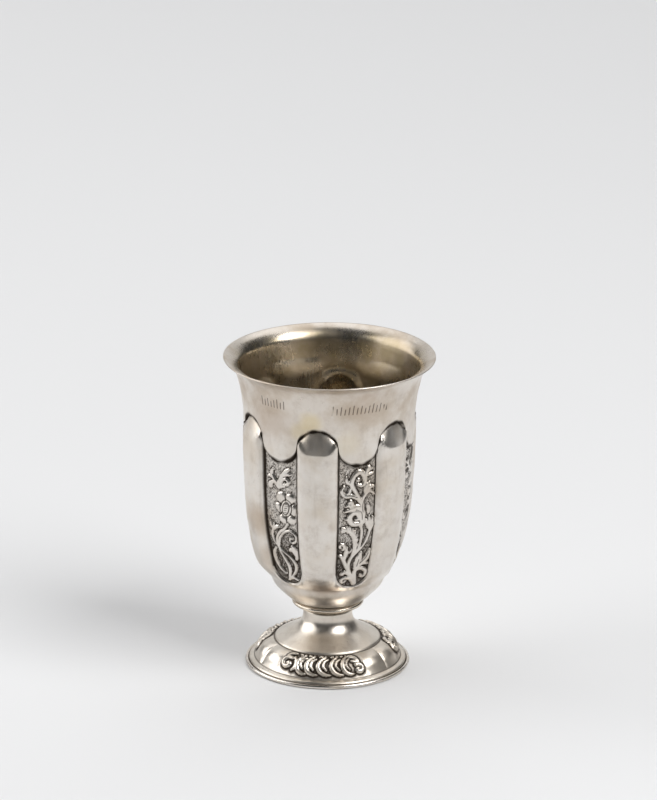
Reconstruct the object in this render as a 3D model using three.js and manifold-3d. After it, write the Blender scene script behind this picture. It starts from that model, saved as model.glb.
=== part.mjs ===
// A footed silver wine cup of the kind used for kiddush: a bowl with six raised lobes and six sunk
// panels of chased scrolls and flowers, on a collar, a flared stem with a gadrooned foot, and a
// base wire. Millimetres, +Z up, origin at the centre of the underside. Azimuth 0 is the front
// (-Y) and grows towards +X.
import * as THREE from "three";
import { mergeVertices } from "three/addons/utils/BufferGeometryUtils.js";
import Module from "manifold-3d";

const HEIGHT = 120;
const SHEET = 0.7;

// Bowl.
const SEAT_Z = 25.6; // the bowl's flat underside, soldered to the collar
const SEAT_RADIUS = 13.2;
const CREASE_Z = 35.4; // where the plain base bulge ends and the lobes begin
const FACE_TOP_Z = 92.2; // where a lobe's face breaks into its rounded knuckle
const LOBE_HALF = 14.3; // degrees
const LOBES = [-64.5, -7.8, 48.9, 111, 172.5, 234]; // centre azimuths, laid out by hand
const ARCH_FOOT_Z = 93.6; // level of the step at a lobe's edge
const ARCH_RISE = 7.6; // the arch over a lobe's knuckle
const TONGUE_DROP = 6.2; // the neck's tongue hanging between two lobes
const PANEL_END_Z = 37.2; // lowest point of a panel's rounded end
const PANEL_END_RISE = 6;
const PANEL_RIM = 0.9; // step round a panel's lower end
const PANEL_SINK = 0.4; // how far the panels' ground lies under the lobes' feet
const STEP_RUN = 0.4; // height over which a step goes down
const FACE_ROWS = [50, 60, 76]; // heights at which the lobes' and panels' long faces bend
const KNUCKLE_LEAN = 0.38; // share of the way back to the neck that a knuckle's shoulder has gone
const NECK_FOOT = 0.8; // height over which the neck rises upright from its edge

// Outlines as [height, radius], from below upwards.
const BASE = [[SEAT_Z, SEAT_RADIUS], [27, 15.3], [29, 17.4], [32, 20.15], [CREASE_Z, 21.6]];
const GROUND = [[CREASE_Z, 21.6], [38, 23.2], [42, 25.3], [47, 26.7], [53, 28.1], [60, 29.3], [68, 30.1],
  [78, 30.55], [95, 30.9]];
const NECK = [[86, 31.3], [95, 31.5], [102, 32], [106, 32.5], [110, 33.4], [114, 34.5], [117, 36],
  [119.2, 38.3]];
const LIP = [[119.55, 39.35], [HEIGHT, 39.1], [HEIGHT, 38.6]];
// How far a lobe's crown stands proud of the panels' ground, by height.
const CROWN = [[CREASE_Z, 0], [38, 0.9], [42, 2.1], [47, 2.6], [56, 2.4], [67, 2.3], [FACE_TOP_Z, 2.5]];

// Collar, foot and base wire as closed sections [radius, height].
const STEM_TOP_Z = 21.2;
const STEM_RADIUS = 9.2;
const COLLAR_BORE = 7.6;
const COLLAR = [[COLLAR_BORE, STEM_TOP_Z], [STEM_RADIUS, STEM_TOP_Z], [10.4, 22.6], [12.4, 23.4],
  [13, 24.1], [12.4, 24.9], [12.4, SEAT_Z], [COLLAR_BORE, SEAT_Z]];
const WIRE_SEAT_Z = 1.2; // the foot's flange lies on the wire here
const WIRE_RADIUS = 30.6;
const WIRE_BORE = 28;
const FLANGE_RADIUS = 29.2;
const WIRE = [[WIRE_BORE, 0], [30.4, 0], [WIRE_RADIUS, 0.7], [30.1, 1.5], [29.4, WIRE_SEAT_Z],
  [WIRE_BORE, WIRE_SEAT_Z]];
const FLANGE = [[WIRE_BORE, WIRE_SEAT_Z], [FLANGE_RADIUS, WIRE_SEAT_Z], [FLANGE_RADIUS, 1.9]];
const DOME = [[27.3, 2.6], [26.2, 3.8], [25.2, 5.8], [23.6, 7.6], [20.6, 9.2]];
const STEM = [[20.1, 9.8], [19.2, 10.4], [15.4, 12], [11.8, 14.1], [9.8, 16.3], [STEM_RADIUS, 18.4],
  [STEM_RADIUS, STEM_TOP_Z]];
const FOOT_INSIDE = [[8.5, STEM_TOP_Z], [8.5, 18], [9.6, 15.4], [13.6, 12.2], [22.6, 7.3], [25.9, 2.4]];

// Foot relief: three fans of slanting gadroons with two plain pillows between each pair.
const FANS = 3;
const FAN_AZIMUTH = -5; // centre of the front fan
const FAN_HALF = 36;
const GADROONS = 6;
const GADROON_RELIEF = 0.75;
const GROOVE_DEPTH = 1.6; // a groove goes this share of the relief below a ridge
const GADROON_SLANT = 11; // degrees from the top of a gadroon to its foot
const PILLOW_RELIEF = 0.9;
const PILLOW_SINK = 0.35; // share of that relief by which a crease is sunk
const RELIEF_OUT = 0.75; // relief stands square to the dome: so much outwards,
const RELIEF_UP = 0.66; // and so much up

// Ornament of the sunk panels: it stands this far above the ground.
const ORNAMENT_RELIEF = 0.8;
const ORNAMENT_ROOT = 0.25; // and is rooted this deep in it
const LAYER_STEP = 0.03; // each stem or leaf lies a little over the one before
const PANEL_RADIUS = 28; // the ground's mean radius

const degrees = THREE.MathUtils.degToRad;
const clamp = THREE.MathUtils.clamp;
const mix = THREE.MathUtils.lerp;

// A smooth value by height through [height, value] points.
function along(points, height) {
  const last = points.length - 1;
  const z = clamp(height, points[0][0], points[last][0]);
  let i = 0;
  while (i < last - 1 && z > points[i + 1][0]) i++;
  const slope = (a, b) => (points[b][1] - points[a][1]) / (points[b][0] - points[a][0]);
  const span = points[i + 1][0] - points[i][0];
  const t = (z - points[i][0]) / span;
  const tangentIn = slope(Math.max(i - 1, 0), i + 1) * span;
  const tangentOut = slope(i, Math.min(i + 2, last)) * span;
  const cubic = (t - 1) * (t - 1) * t * tangentIn + (t - 1) * t * t * tangentOut;
  return mix(points[i][1], points[i + 1][1], t * t * (3 - 2 * t)) + cubic;
}

const panels = LOBES.map((lobe, i) => {
  const next = i + 1 < LOBES.length ? LOBES[i + 1] : LOBES[0] + 360;
  return { centre: (lobe + next) / 2, half: (next - lobe) / 2 - LOBE_HALF, flower: i % 2 === 0 };
});

// A place across the bowl: the lobe it is in, or the panel, with -1 and 1 at that one's two edges.
function placeAt(azimuth) {
  const from = (centre) => THREE.MathUtils.euclideanModulo(azimuth - centre + 180, 360) - 180;
  const onEdge = LOBE_HALF + 1e-6;
  const lobe = LOBES.find((centre) => Math.abs(from(centre)) <= onEdge);
  if (lobe !== undefined) return { lobe: true, across: clamp(from(lobe) / LOBE_HALF, -1, 1) };
  const panel = panels.find(({ centre, half }) => Math.abs(from(centre)) < half);
  return { lobe: false, across: from(panel.centre) / panel.half };
}

// How full a rounded shape is across its width: a lobe's blunt swell, or a half circle.
const swellAcross = (across) => Math.sqrt(1 - Math.abs(across) ** 3);
const roundAcross = (across) => Math.sqrt(1 - across * across);

// One column of the bowl's outer face, from the seat to the lip, as [radius, height].
function bowlColumn(azimuth) {
  const { lobe, across } = placeAt(azimuth);
  const column = [27, 30.5, CREASE_Z].map((z) => [along(BASE, z), z]);
  column.push(...(lobe ? lobeFace(across) : panelFace(across)));
  column.push(...[105, 111, 116, 119.1].map(neckAt));
  return column;
}

const neckAt = (z) => [along(NECK, z), z];

// A lobe: swelling face, then the knuckle that leans back under the neck's arch.
function lobeFace(across) {
  const faceAt = (z) => [along(GROUND, z) + along(CROWN, z) * swellAcross(across), z];
  const edge = Math.abs(across) ** 4;
  const panelEnd = PANEL_END_Z + PANEL_END_RISE;
  const arch = ARCH_FOOT_Z + mix(NECK_FOOT, ARCH_RISE, roundAcross(across));
  const [faceRadius] = faceAt(FACE_TOP_Z);
  const lean = mix(KNUCKLE_LEAN, 1, Math.abs(across) ** 6);
  return [
    ...[mix(38.4, panelEnd, edge), mix(40, panelEnd + STEP_RUN, edge)].map(faceAt),
    ...[mix(43.5, 45.5, edge), ...FACE_ROWS].map(faceAt),
    [faceRadius, mix(FACE_TOP_Z, ARCH_FOOT_Z - STEP_RUN, edge)],
    [mix(faceRadius, along(NECK, arch), lean), mix(FACE_TOP_Z, arch, 0.5)],
    neckAt(arch),
  ];
}

// A panel: rounded lower end with a rim, flat ground, and the neck's tongue hanging over its top.
function panelFace(across) {
  const groundAt = (z) => [along(GROUND, z) - PANEL_SINK, z];
  const end = PANEL_END_Z + PANEL_END_RISE * (1 - roundAcross(across));
  const tongue = ARCH_FOOT_Z - TONGUE_DROP * roundAcross(across);
  const rim = PANEL_RIM * clamp((end - CREASE_Z) / 3, 0, 1) * (1 - across ** 8);
  return [
    [along(GROUND, end) + rim, end],
    ...[end + STEP_RUN, mix(43, 45.5, across ** 8), ...FACE_ROWS, tongue - STEP_RUN].map(groundAt),
    neckAt(tongue),
    neckAt(tongue + NECK_FOOT),
  ];
}

// The inner face runs the sheet's thickness inside the outer one.
function inset([radius, height]) {
  const step = 0.5;
  const outline = height < CREASE_Z ? BASE : height > ARCH_FOOT_Z ? NECK : GROUND;
  const rise = (along(outline, height + step) - along(outline, height - step)) / (2 * step);
  const length = Math.hypot(1, rise);
  return [radius - SHEET / length, height + (SHEET * rise) / length];
}

// A closed surface turned round the Z axis. Every azimuth has its own column of [radius, height],
// or of [radius, height, turn] where a row is turned on by some degrees.
function turned(azimuths, columnAt) {
  const columns = azimuths.map(columnAt);
  const profile = columns[0].map(([radius, height]) => new THREE.Vector2(radius, height));
  const lathe = new THREE.LatheGeometry(profile, azimuths.length);
  const position = lathe.getAttribute("position");
  for (let i = 0; i <= azimuths.length; i++) {
    const column = i % azimuths.length;
    columns[column].forEach(([radius, height, turn = 0], j) => {
      const azimuth = degrees(azimuths[column] + turn);
      const at = i * profile.length + j;
      position.setXYZ(at, radius * Math.sin(azimuth), -radius * Math.cos(azimuth), height);
    });
  }
  return merged(lathe);
}

function merged(geometry) {
  geometry.deleteAttribute("normal");
  geometry.deleteAttribute("uv");
  return mergeVertices(geometry, 1e-4);
}

const even = (count) => Array.from({ length: count }, (_, i) => (360 * i) / count);
const ring = (section, count) => turned(even(count), () => [...section, section[0]]);

function bowlShell() {
  const azimuths = LOBES.flatMap((lobe, i) => {
    const across = [-1, -0.83, -0.36, 0.36, 0.83, 1].map((share) => lobe + share * LOBE_HALF);
    const { centre, half } = panels[i];
    return [...across, ...[-0.55, 0, 0.55].map((share) => centre + share * half)];
  });
  const floor = SEAT_Z + SHEET;
  const floorRadius = SEAT_RADIUS - 1.2;
  const lip = LIP.map(([height, radius]) => [radius, height]);
  return turned(azimuths, (azimuth) => {
    const outer = bowlColumn(azimuth);
    const inner = [0, 2, 4, 5, 6, 7, 8, 9, 11, 12, 14, 15].map((row) => inset(outer[row])).reverse();
    return [[0, SEAT_Z], [SEAT_RADIUS, SEAT_Z], ...outer, ...lip, ...inner, [floorRadius, floor], [0, floor]];
  });
}

// A stem or leaf of the ornament: a flat outline along a curve, full in its middle and fine at its ends.
function strokeShape(points, width, steps) {
  const curve = new THREE.SplineCurve(points.map(([across, up]) => new THREE.Vector2(across, up)));
  const left = [];
  const right = [];
  for (let i = 0; i <= steps; i++) {
    const t = i / steps;
    const point = curve.getPoint(t);
    const tangent = curve.getTangent(t);
    const half = (width / 2) * (0.35 + 0.65 * Math.sin(Math.PI * t));
    left.push(new THREE.Vector2(point.x - tangent.y * half, point.y + tangent.x * half));
    right.unshift(new THREE.Vector2(point.x + tangent.y * half, point.y - tangent.x * half));
  }
  return new THREE.Shape([...right, ...left]);
}

// An open rose seen from above: its outline dips between the petals.
function roseShape(x, y) {
  const count = ROSE.petals * 2;
  const outline = Array.from({ length: count }, (_, i) => {
    const turn = (2 * Math.PI * i) / count;
    const reach = ROSE.radius * (i % 2 === 0 ? 0.8 : 1);
    return new THREE.Vector2(x + reach * 0.85 * Math.cos(turn), y + reach * Math.sin(turn));
  });
  return new THREE.Shape(outline);
}

// A flat shape laid on a panel's ground. Its x runs across in millimetres, its y is the height.
function laidOnPanel(shape, panel, relief) {
  const depth = relief + ORNAMENT_ROOT;
  const slab = merged(new THREE.ExtrudeGeometry(shape, { depth, bevelEnabled: false }));
  const position = slab.getAttribute("position");
  for (let i = 0; i < position.count; i++) {
    const z = position.getY(i);
    const ground = along(GROUND, z) - PANEL_SINK;
    const azimuth = degrees(panel.centre) + position.getX(i) / ground;
    const radius = ground - ORNAMENT_ROOT + position.getZ(i);
    position.setXYZ(i, radius * Math.sin(azimuth), -radius * Math.cos(azimuth), z);
  }
  return slab;
}

// Across is in shares of the panel's half width, up is the height in millimetres.
const FLOWER_PANEL = [
  { width: 1.7, steps: 4, path: [[0.15, 40.2], [0.25, 46], [-0.25, 54], [0.05, 60], [0.35, 64.5]] },
  { width: 1.5, steps: 3, path: [[0.68, 47], [0.1, 52], [-0.3, 55], [-0.55, 61.5]] },
  { width: 2.8, steps: 3, path: [[-0.1, 42.5], [-0.6, 45.5], [-0.68, 51.5]] },
  { width: 2.8, steps: 3, path: [[-0.7, 78], [0, 77.5], [0.2, 80.5], [0.55, 84]] },
];
const ROSE = { across: 0.28, up: 69.4, radius: 5.4, petals: 6, relief: 1.1 };
const SCROLL_PANEL = [
  { width: 1.9, steps: 5, path: [[0.35, 38.8], [-0.1, 44.5], [0, 51], [0.3, 54.5], [0.7, 60], [0.75, 64]] },
  { width: 1.9, steps: 4, path: [[0.35, 39.4], [0.3, 44.2], [0.75, 45.2], [0.8, 41.8], [0.55, 41.6]] },
  { width: 2.8, steps: 3, path: [[-0.05, 50], [0.1, 56.5], [-0.2, 61.5], [-0.65, 62.4]] },
  { width: 2.8, steps: 4, path: [[0.4, 63.5], [-0.1, 64], [-0.3, 67.6], [0.05, 70.8], [0.35, 67]] },
  { width: 2.6, steps: 5, path: [[0.3, 68], [-0.3, 78.5], [-0.05, 84.4], [0.4, 83.4], [0.2, 79.8]] },
];

function ornament(panel) {
  const place = ([share, up]) => [share * degrees(panel.half) * PANEL_RADIUS, up];
  const strokes = panel.flower ? FLOWER_PANEL : SCROLL_PANEL;
  const laid = strokes.map(({ width, steps, path }, i) =>
    laidOnPanel(strokeShape(path.map(place), width, steps), panel, ORNAMENT_RELIEF + i * LAYER_STEP));
  if (panel.flower) laid.push(laidOnPanel(roseShape(...place([ROSE.across, ROSE.up])), panel, ROSE.relief));
  return laid;
}

const wasm = await Module();
wasm.setup();

function solid(geometry) {
  return new wasm.Manifold(new wasm.Mesh({
    numProp: 3,
    vertProperties: new Float32Array(geometry.getAttribute("position").array),
    triVerts: new Uint32Array(geometry.index.array),
  }));
}

function geometryOf(manifold) {
  const mesh = manifold.getMesh();
  return new THREE.BufferGeometry()
    .setAttribute("position", new THREE.BufferAttribute(mesh.vertProperties, mesh.numProp))
    .setIndex(new THREE.BufferAttribute(mesh.triVerts, 1));
}

function bowl() {
  const pieces = panels.flatMap(ornament).map(solid);
  return geometryOf(pieces.reduce((whole, piece) => whole.add(piece), solid(bowlShell())));
}

// The foot is laid out by degrees from the middle of a fan, out to the crease midway to the next.
const CREASE_AT = 180 / FANS;

// Relief of the foot's dome at a share of the way up it: gadroons in a fan, pillows between fans.
function domeRelief(fromFan, up) {
  const swell = Math.sin(Math.PI * up);
  if (Math.abs(fromFan) <= FAN_HALF) {
    const share = (GADROONS * (fromFan + FAN_HALF)) / (2 * FAN_HALF);
    const fromRidge = 2 * (share - Math.floor(share)) - 1;
    return GADROON_RELIEF * swell * (1 - GROOVE_DEPTH * fromRidge ** 2);
  }
  const toCrease = clamp((CREASE_AT - Math.abs(fromFan)) / (CREASE_AT - FAN_HALF), 0, 1);
  return PILLOW_RELIEF * swell * (Math.sin(Math.PI * toCrease) ** 0.6 - PILLOW_SINK);
}

// One column of the foot: flange, dome with its relief, stem, and the plain inside back to the flange.
function footColumn(fromFan) {
  const inFan = clamp((CREASE_AT - Math.abs(fromFan)) / (CREASE_AT - FAN_HALF), 0, 1);
  const raised = DOME.map(([radius, height], row) => {
    const up = row / (DOME.length - 1);
    const relief = domeRelief(fromFan, up);
    return [radius + relief * RELIEF_OUT, height + relief * RELIEF_UP, GADROON_SLANT * inFan * (0.5 - up)];
  });
  return [...FLANGE, ...raised, ...STEM, ...FOOT_INSIDE, FLANGE[0]];
}

function foot() {
  const inFan = Array.from({ length: 2 * GADROONS + 1 }, (_, i) => -FAN_HALF + (i * FAN_HALF) / GADROONS);
  const between = [0.4, 0.8, 1].map((share) => mix(FAN_HALF, CREASE_AT, share));
  const beforeFan = [0.8, 0.4].map((share) => -mix(FAN_HALF, CREASE_AT, share));
  const places = [...beforeFan, ...inFan, ...between];
  const azimuths = even(FANS).flatMap((fan) => places.map((place) => FAN_AZIMUTH + fan + place));
  return turned(azimuths, (azimuth) => {
    const pitch = 2 * CREASE_AT;
    return footColumn(THREE.MathUtils.euclideanModulo(azimuth - FAN_AZIMUTH + CREASE_AT, pitch) - CREASE_AT);
  });
}

const silver = { color: 0xd6d0c6, roughness: 0.34, metalness: 1 };
const finish = (changes) => new THREE.MeshStandardMaterial({ ...silver, ...changes });

function piece(name, geometry, changes) {
  const mesh = new THREE.Mesh(geometry, finish(changes));
  mesh.name = name;
  return mesh;
}

const cup = new THREE.Group();
cup.add(
  piece("bowl", bowl(), {}),
  piece("collar", ring(COLLAR, 32), { color: 0xcfc5ad, roughness: 0.3 }),
  piece("foot", foot(), { roughness: 0.3 }),
  piece("base_wire", ring(WIRE, 48), { roughness: 0.28 }),
);

export default cup;
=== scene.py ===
import math

import bmesh
import bpy
import numpy as np
from mathutils import Matrix, Vector


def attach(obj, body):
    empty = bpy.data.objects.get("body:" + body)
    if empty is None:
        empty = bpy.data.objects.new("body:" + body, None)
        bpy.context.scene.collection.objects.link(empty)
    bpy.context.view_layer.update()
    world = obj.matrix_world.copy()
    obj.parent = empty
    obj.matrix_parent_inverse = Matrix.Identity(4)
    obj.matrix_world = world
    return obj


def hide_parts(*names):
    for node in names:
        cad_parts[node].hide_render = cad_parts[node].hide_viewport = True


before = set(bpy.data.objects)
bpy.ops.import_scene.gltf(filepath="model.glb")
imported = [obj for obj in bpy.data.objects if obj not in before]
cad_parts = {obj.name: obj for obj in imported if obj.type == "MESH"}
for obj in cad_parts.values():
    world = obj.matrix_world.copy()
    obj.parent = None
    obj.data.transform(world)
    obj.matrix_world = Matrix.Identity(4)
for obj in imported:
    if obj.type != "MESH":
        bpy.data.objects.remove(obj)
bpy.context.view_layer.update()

MM = 0.001

# ---------------------------------------------------------------- named sizes, in millimetres
SHEET = 0.7
SEAT_Z = 25.6
SEAT_RADIUS = 13.2
CREASE_Z = 35.4
FACE_TOP_Z = 92.2
LOBE_HALF = 14.3
LOBES = (-64.5, -7.8, 48.9, 111.0, 172.5, 234.0)
KINK_RISE = 8.2
ARCH_FOOT_Z = 93.6
ARCH_RISE = 7.6
TONGUE_DROP = 6.2
PANEL_END_Z = 37.2
PANEL_END_RISE = 6.0
STEM_TOP_Z = 21.2
STEM_RADIUS = 9.2

BASE = ((SEAT_Z, SEAT_RADIUS), (27, 15.3), (29, 17.4), (32, 20.15), (CREASE_Z, 21.6))
GROUND = ((CREASE_Z, 21.6), (38, 23.2), (42, 25.3), (47, 26.7), (53, 28.1), (60, 29.3), (68, 30.1),
          (78, 30.55), (95, 30.9))
NECK = ((86, 31.3), (95, 31.5), (102, 32), (106, 32.5), (110, 33.4), (114, 34.5), (117, 36), (119.2, 38.3))
CROWN = ((CREASE_Z, 0), (38, 0.9), (42, 2.1), (47, 2.6), (56, 2.4), (67, 2.3), (FACE_TOP_Z, 2.5))
LIP = ((38.3, 119.2), (39.0, 119.45), (39.3, 119.65), (39.3, 119.85), (39.05, 120.0), (38.6, 119.9))

PANEL_SINK = 0.4
KNUCKLE_SINK = 1.7  # how far in under the neck's arch a knuckle ends
UNDER_STEP = 0.5  # the heights just under and over the neck's scalloped edge
OVER_STEP = 0.3
TEXT_Z = 106.5
FLARE_Z = 113.8
RIM_Z = 119.2
ORNAMENT_RELIEF = 0.7
STROKE_FULLNESS = 1.6
GROOVE = 0.22

# Clockwise from a lobe's left edge: the columns given to each lobe and to the panel after it. The
# front ones carry the finest work.
LOBE_COLUMNS = (20, 36, 26, 14, 14, 14)
PANEL_COLUMNS = (74, 76, 34, 22, 22, 26)

# Rows up the outer face: base, under the panels, lobes and panels, the step under the neck, the lower
# neck, the inscription and the flare. The inner face repeats some of them, closer together at the steps.
ROW_COUNTS = (10, 8, 150, 5, 14, 22, 10)
INNER_ROWS = (0, 3, 6, 10, 14, 17, 20, *range(36, 144, 18), 144, 154, 163, 167, *range(171, 219, 4))

rng = np.random.default_rng(17)


def along(points, z):
    """A smooth value by height through (height, value) points."""
    heights, values = np.array(points, float).T
    last = len(heights) - 1
    z = np.clip(z, heights[0], heights[-1])
    i = np.clip(np.searchsorted(heights, z, side="left") - 1, 0, last - 1)
    span = heights[i + 1] - heights[i]
    t = (z - heights[i]) / span

    def slope(a, b):
        return (values[b] - values[a]) / (heights[b] - heights[a])

    tangent_in = slope(np.maximum(i - 1, 0), i + 1) * span
    tangent_out = slope(i, np.minimum(i + 2, last)) * span
    curve = (t - 1) ** 2 * t * tangent_in + (t - 1) * t * t * tangent_out
    ease = t * t * (3 - 2 * t)
    return values[i] * (1 - ease) + values[i + 1] * ease + curve


def ease(value, low, high):
    """0 below low, 1 above high, smooth between."""
    t = np.clip((value - low) / (high - low), 0, 1)
    return t * t * (3 - 2 * t)


def mix(a, b, share):
    return a * (1 - share) + b * share


def round_share(across):
    return np.sqrt(np.clip(1 - across * across, 0, 1))


def ripple(x, y, size, seed, count=9):
    """A gentle seeded unevenness of about one unit, its swells as wide as size."""
    waves = np.random.default_rng(seed)
    total = np.zeros(np.broadcast(x, y).shape)
    for _ in range(count):
        angle = waves.uniform(0, 2 * math.pi)
        rate = 2 * math.pi / (size * waves.uniform(0.6, 1.8))
        phase = waves.uniform(0, 2 * math.pi)
        total += np.sin(rate * (x * math.cos(angle) + y * math.sin(angle)) + phase)
    return total / math.sqrt(count)


def blur(patch, reach):
    """The patch with every point averaged over its neighbours, reach steps to each side."""
    weights = np.exp(-(np.arange(-reach, reach + 1) / (0.6 * reach)) ** 2)
    weights /= weights.sum()
    for axis in (0, 1):
        widths = [(reach, reach) if k == axis else (0, 0) for k in (0, 1)]
        padded = np.pad(patch, widths, mode="edge")
        patch = np.apply_along_axis(np.convolve, axis, padded, weights, mode="valid")
    return patch


def smooth_path(points, steps=9):
    """A curve through the points, as short straight runs."""
    points = np.array(points, float)
    padded = np.vstack([2 * points[0] - points[1], points, 2 * points[-1] - points[-2]])
    t = np.linspace(0, 1, steps, endpoint=False)[:, None]
    out = []
    for a, b, c, d in zip(padded, padded[1:], padded[2:], padded[3:]):
        out.append(0.5 * (2 * b + (c - a) * t + (2 * a - 5 * b + 4 * c - d) * t ** 2
                          + (3 * b - a - 3 * c + d) * t ** 3))
    return np.vstack([*out, points[-1:]])


def run_distance(x, y, a, b):
    """How far each point of x, y lies from the straight run from a to b."""
    run_x, run_y = b[0] - a[0], b[1] - a[1]
    length = max(run_x ** 2 + run_y ** 2, 1e-9)
    t = np.clip(((x - a[0]) * run_x + (y - a[1]) * run_y) / length, 0, 1)
    return np.hypot(x - a[0] - t * run_x, y - a[1] - t * run_y)


# ---------------------------------------------------------------- chased strokes
class Chasing:
    """Relief drawn on a patch with stems, leaves, curls and beads. x and y are in millimetres."""

    def __init__(self, x, y):
        self.x = x
        self.y = y
        self.height = np.zeros(x.shape)
        self.edge = np.full(x.shape, 9.0)  # distance to the nearest stroke's edge
        self.cut = np.zeros(x.shape)  # fine engraved lines, 0 to 1

    def raise_to(self, height, inside, edge):
        self.height = np.where(inside & (height > self.height), height, self.height)
        self.edge = np.minimum(self.edge, edge)

    def stroke(self, points, width, relief=1.0, start=0.5, end=0.5, notches=0):
        """A raised band along a path: its half width is full in the middle, start and end at the ends."""
        path = smooth_path(points)
        near = np.full(self.x.shape, 99.0)
        off = np.full(self.x.shape, 99.0)
        for k, (a, b) in enumerate(zip(path, path[1:])):
            share = (k + 0.5) / (len(path) - 1)
            side = start if share < 0.5 else end
            half = STROKE_FULLNESS * width / 2 * (side + (1 - side) * math.sin(math.pi * share) ** 0.7)
            if notches:
                half *= 0.72 + 0.28 * abs(math.cos(math.pi * notches * share))
            distance = run_distance(self.x, self.y, a, b)
            near = np.minimum(near, distance / max(half, 0.05))
            off = np.minimum(off, distance - half)
        inside = near < 1
        height = ORNAMENT_RELIEF * relief * np.sqrt(np.clip(1 - near ** 3, 0, 1))
        self.raise_to(height, inside, off)

    def engrave(self, points, width=0.28):
        """A fine line cut along a path."""
        path = smooth_path(points)
        for a, b in zip(path, path[1:]):
            distance = run_distance(self.x, self.y, a, b)
            self.cut = np.maximum(self.cut, np.exp(-(distance / width) ** 2))

    def curl(self, centre, radius, start, turns, width, relief=1.0, bead=0.0):
        """A scroll that winds in to its centre. start is the angle of its outer end, in degrees."""
        count = max(5, int(abs(turns) * 12))
        points = []
        for k in range(count + 1):
            share = k / count
            angle = math.radians(start + 360 * turns * share)
            reach = radius * (1 - 0.72 * share)
            points.append((centre[0] + reach * math.cos(angle), centre[1] + reach * math.sin(angle)))
        self.stroke(points, width, relief, start=0.9, end=0.5)
        if bead:
            self.bead(centre, bead, bead, relief=relief)

    def bead(self, centre, half_x, half_y, turn=0.0, relief=1.0, hollow=0.0):
        """A round or oval boss, or with hollow, a cup whose rim stands up."""
        cos, sin = math.cos(math.radians(turn)), math.sin(math.radians(turn))
        dx, dy = self.x - centre[0], self.y - centre[1]
        across, up = dx * cos + dy * sin, dy * cos - dx * sin
        near = np.hypot(across / half_x, up / half_y)
        height = ORNAMENT_RELIEF * relief * np.sqrt(np.clip(1 - near ** 2, 0, 1))
        if hollow:
            height = ORNAMENT_RELIEF * relief * (1 - hollow * np.clip(1 - near, 0, 1) ** 0.8) * (near < 1)
            height *= np.clip((1 - near) * 6, 0, 1) ** 0.5
        self.raise_to(height, near < 1, (near - 1) * min(half_x, half_y))

    def barbs(self, points, count, length, width, side, first=0.15, last=0.95, relief=0.9):
        """Small leaves set along one side of a path, sweeping towards its end."""
        path = smooth_path(points)
        for k in range(count):
            at = mix(first, last, k / max(count - 1, 1)) * (len(path) - 2)
            i = int(at)
            here = path[i]
            along_path = path[i + 1] - path[i]
            along_path /= max(np.hypot(*along_path), 1e-6)
            square = np.array((-along_path[1], along_path[0])) * side
            reach = length * (0.55 + 0.45 * math.sin(math.pi * (k + 1) / (count + 1)))
            tip = here + square * reach * 0.85 + along_path * reach * 0.75
            middle = here + square * reach * 0.55 + along_path * reach * 0.2
            self.stroke((here, middle, tip), width, relief, start=0.9, end=0.25)


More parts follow.
